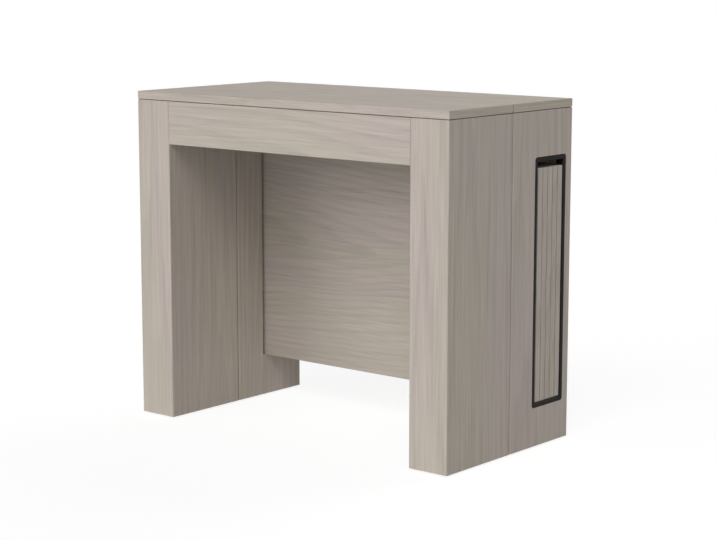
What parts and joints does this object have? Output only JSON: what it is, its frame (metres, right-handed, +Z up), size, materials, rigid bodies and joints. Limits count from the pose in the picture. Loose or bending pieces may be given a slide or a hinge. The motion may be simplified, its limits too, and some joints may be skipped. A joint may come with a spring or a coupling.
{
  "type": "extending console table",
  "caption": "Narrow wood-look console on box legs that pulls out on telescopic rails into a long dining table; its extension leaves slide into a framed slot in one leg.",
  "frame": {"origin": "on the floor, at the middle of the closed table's footprint", "axes": "+X to the right along the table's width, +Y to the back, +Z up"},
  "size_m": [0.9, 0.446, 0.76],
  "materials": {
    "elm_board": "grey-beige elm-look melamine, fine grain, satin",
    "core_board": "raw chipboard",
    "black_trim": "satin black moulding",
    "guide_aluminium": "anodised extrusion, fine draw lines",
    "bracket_steel": "zinc plated sheet",
    "screw_steel": "zinc plated",
    "foot_plastic": "grey-brown polyamide",
    "pin_beech": "plain beech dowel"
  },
  "bodies": {
    "rear_unit": {"rear_top": "elm_board", "rear_apron": "elm_board", "rear_right_leg_outer_board": "elm_board", "rear_right_leg_inner_board": "elm_board", "rear_right_leg_back_board": "elm_board", "rear_right_leg_meeting_board": "elm_board", "rear_left_leg_outer_board": "elm_board", "rear_left_leg_inner_board": "elm_board", "rear_left_leg_back_board": "elm_board", "rear_left_leg_meeting_board": "elm_board", "rear_leg_blocks": "core_board", "rear_feet": "foot_plastic", "rear_corner_brackets": "bracket_steel", "slot_frame": "black_trim", "leaf_runners": "core_board", "rear_guide_rails": "guide_aluminium", "guide_packers": "core_board", "rear_screws": "screw_steel"},
    "front_unit": {"front_top": "elm_board", "front_apron": "elm_board", "front_right_leg_outer_board": "elm_board", "front_right_leg_inner_board": "elm_board", "front_right_leg_front_board": "elm_board", "front_right_leg_meeting_board": "elm_board", "front_left_leg_outer_board": "elm_board", "front_left_leg_inner_board": "elm_board", "front_left_leg_front_board": "elm_board", "front_left_leg_meeting_board": "elm_board", "front_leg_blocks": "core_board", "front_feet": "foot_plastic", "front_corner_brackets": "bracket_steel", "front_guide_rails": "guide_aluminium", "front_guide_carrier": "bracket_steel", "front_screws": "screw_steel", "front_top_pins": "pin_beech"},
    "guide_stage_2": {"guide_rails_2": "guide_aluminium", "guide_crossbar_2": "bracket_steel"},
    "guide_stage_3": {"guide_rails_3": "guide_aluminium", "guide_crossbar_3": "bracket_steel"},
    "guide_stage_4": {"guide_rails_4": "guide_aluminium", "guide_crossbar_4": "bracket_steel"},
    "guide_stage_5": {"guide_rails_5": "guide_aluminium", "guide_crossbar_5": "bracket_steel"},
    "guide_stage_6": {"guide_rails_6": "guide_aluminium", "guide_crossbar_6": "bracket_steel"},
    "guide_stage_7": {"guide_rails_7": "guide_aluminium", "guide_crossbar_7": "bracket_steel"},
    "guide_stage_8": {"guide_rails_8": "guide_aluminium", "guide_crossbar_8": "bracket_steel"},
    "leaf_1": {"leaf_1": "elm_board", "leaf_1_pins": "pin_beech"},
    "leaf_2": {"leaf_2": "elm_board", "leaf_2_pins": "pin_beech"},
    "leaf_3": {"leaf_3": "elm_board", "leaf_3_pins": "pin_beech"},
    "leaf_4": {"leaf_4": "elm_board", "leaf_4_pins": "pin_beech"},
    "leaf_5": {"leaf_5": "elm_board", "leaf_5_pins": "pin_beech"}
  },
  "joints": [
    {"name": "front_slide", "type": "slide", "parent": "rear_unit", "child": "front_unit", "axis": [0, -1, 0], "range_m": [0, 2.575]},
    {"name": "guide_stage_2_slide", "type": "slide", "parent": "rear_unit", "child": "guide_stage_2", "axis": [0, -1, 0], "range_m": [0, 0.322]},
    {"name": "guide_stage_3_slide", "type": "slide", "parent": "rear_unit", "child": "guide_stage_3", "axis": [0, -1, 0], "range_m": [0, 0.644]},
    {"name": "guide_stage_4_slide", "type": "slide", "parent": "rear_unit", "child": "guide_stage_4", "axis": [0, -1, 0], "range_m": [0, 0.966]},
    {"name": "guide_stage_5_slide", "type": "slide", "parent": "rear_unit", "child": "guide_stage_5", "axis": [0, -1, 0], "range_m": [0, 1.288]},
    {"name": "guide_stage_6_slide", "type": "slide", "parent": "rear_unit", "child": "guide_stage_6", "axis": [0, -1, 0], "range_m": [0, 1.61]},
    {"name": "guide_stage_7_slide", "type": "slide", "parent": "rear_unit", "child": "guide_stage_7", "axis": [0, -1, 0], "range_m": [0, 1.932]},
    {"name": "guide_stage_8_slide", "type": "slide", "parent": "rear_unit", "child": "guide_stage_8", "axis": [0, -1, 0], "range_m": [0, 2.254]},
    {"name": "leaf_1_slide", "type": "slide", "parent": "rear_unit", "child": "leaf_1", "axis": [1, 0, 0], "range_m": [0, 0.9]},
    {"name": "leaf_2_slide", "type": "slide", "parent": "rear_unit", "child": "leaf_2", "axis": [1, 0, 0], "range_m": [0, 0.9]},
    {"name": "leaf_3_slide", "type": "slide", "parent": "rear_unit", "child": "leaf_3", "axis": [1, 0, 0], "range_m": [0, 0.9]},
    {"name": "leaf_4_slide", "type": "slide", "parent": "rear_unit", "child": "leaf_4", "axis": [1, 0, 0], "range_m": [0, 0.9]},
    {"name": "leaf_5_slide", "type": "slide", "parent": "rear_unit", "child": "leaf_5", "axis": [1, 0, 0], "range_m": [0, 0.9]}
  ],
  "couplings": [
    {"joint": "guide_stage_2_slide", "follows": "front_slide", "ratio": 0.125},
    {"joint": "guide_stage_3_slide", "follows": "front_slide", "ratio": 0.25},
    {"joint": "guide_stage_4_slide", "follows": "front_slide", "ratio": 0.375},
    {"joint": "guide_stage_5_slide", "follows": "front_slide", "ratio": 0.5},
    {"joint": "guide_stage_6_slide", "follows": "front_slide", "ratio": 0.625},
    {"joint": "guide_stage_7_slide", "follows": "front_slide", "ratio": 0.75},
    {"joint": "guide_stage_8_slide", "follows": "front_slide", "ratio": 0.875}
  ]
}
